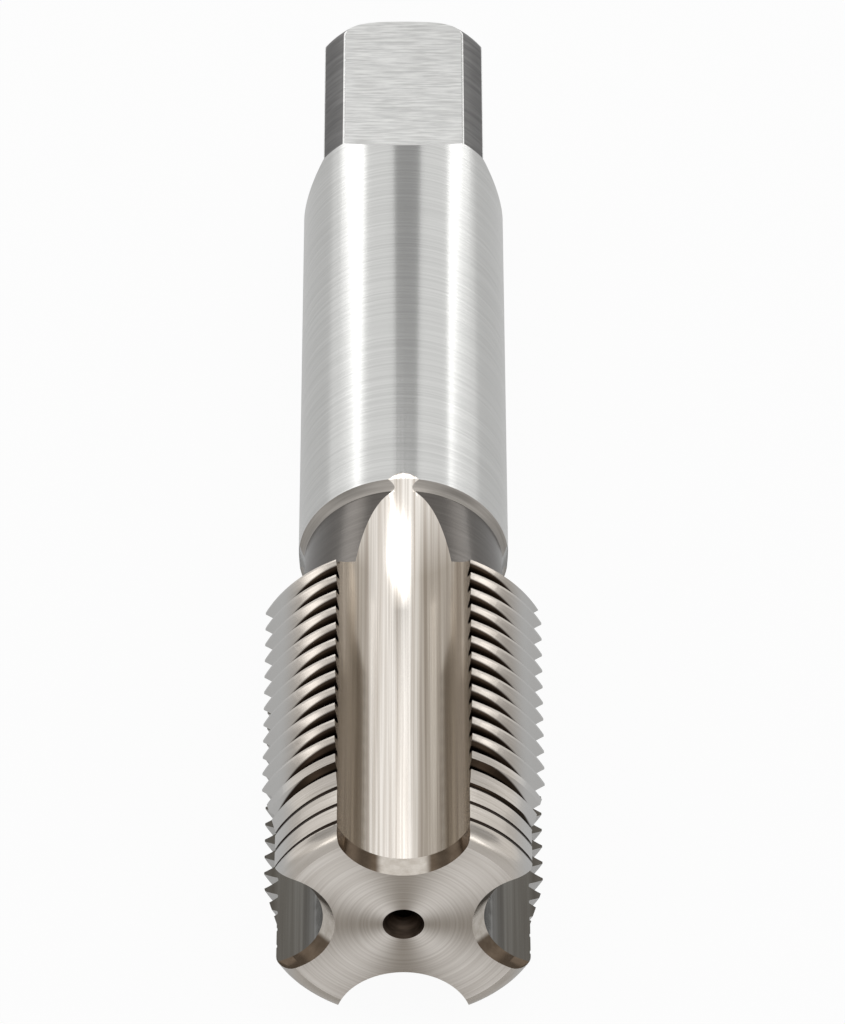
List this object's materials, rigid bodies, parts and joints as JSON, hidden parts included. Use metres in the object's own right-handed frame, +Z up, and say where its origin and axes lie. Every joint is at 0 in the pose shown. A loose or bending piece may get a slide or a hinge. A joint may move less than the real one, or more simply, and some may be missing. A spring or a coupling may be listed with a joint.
{
  "type": "hand tap",
  "caption": "Straight-fluted hand tap with a right-hand metric thread, a plain round shank and a square drive end.",
  "frame": {"origin": "centre of the footprint, on the surface that the tap lies on", "axes": "+Y along the tap's axis from its cutting end to its square, +Z up out of the upper flute"},
  "size_m": [0.018, 0.085, 0.018],
  "materials": {
    "ground_steel": "ground high speed steel, fine grinding lines"
  },
  "bodies": {
    "root": {"hand_tap": "ground_steel"}
  },
  "joints": []
}
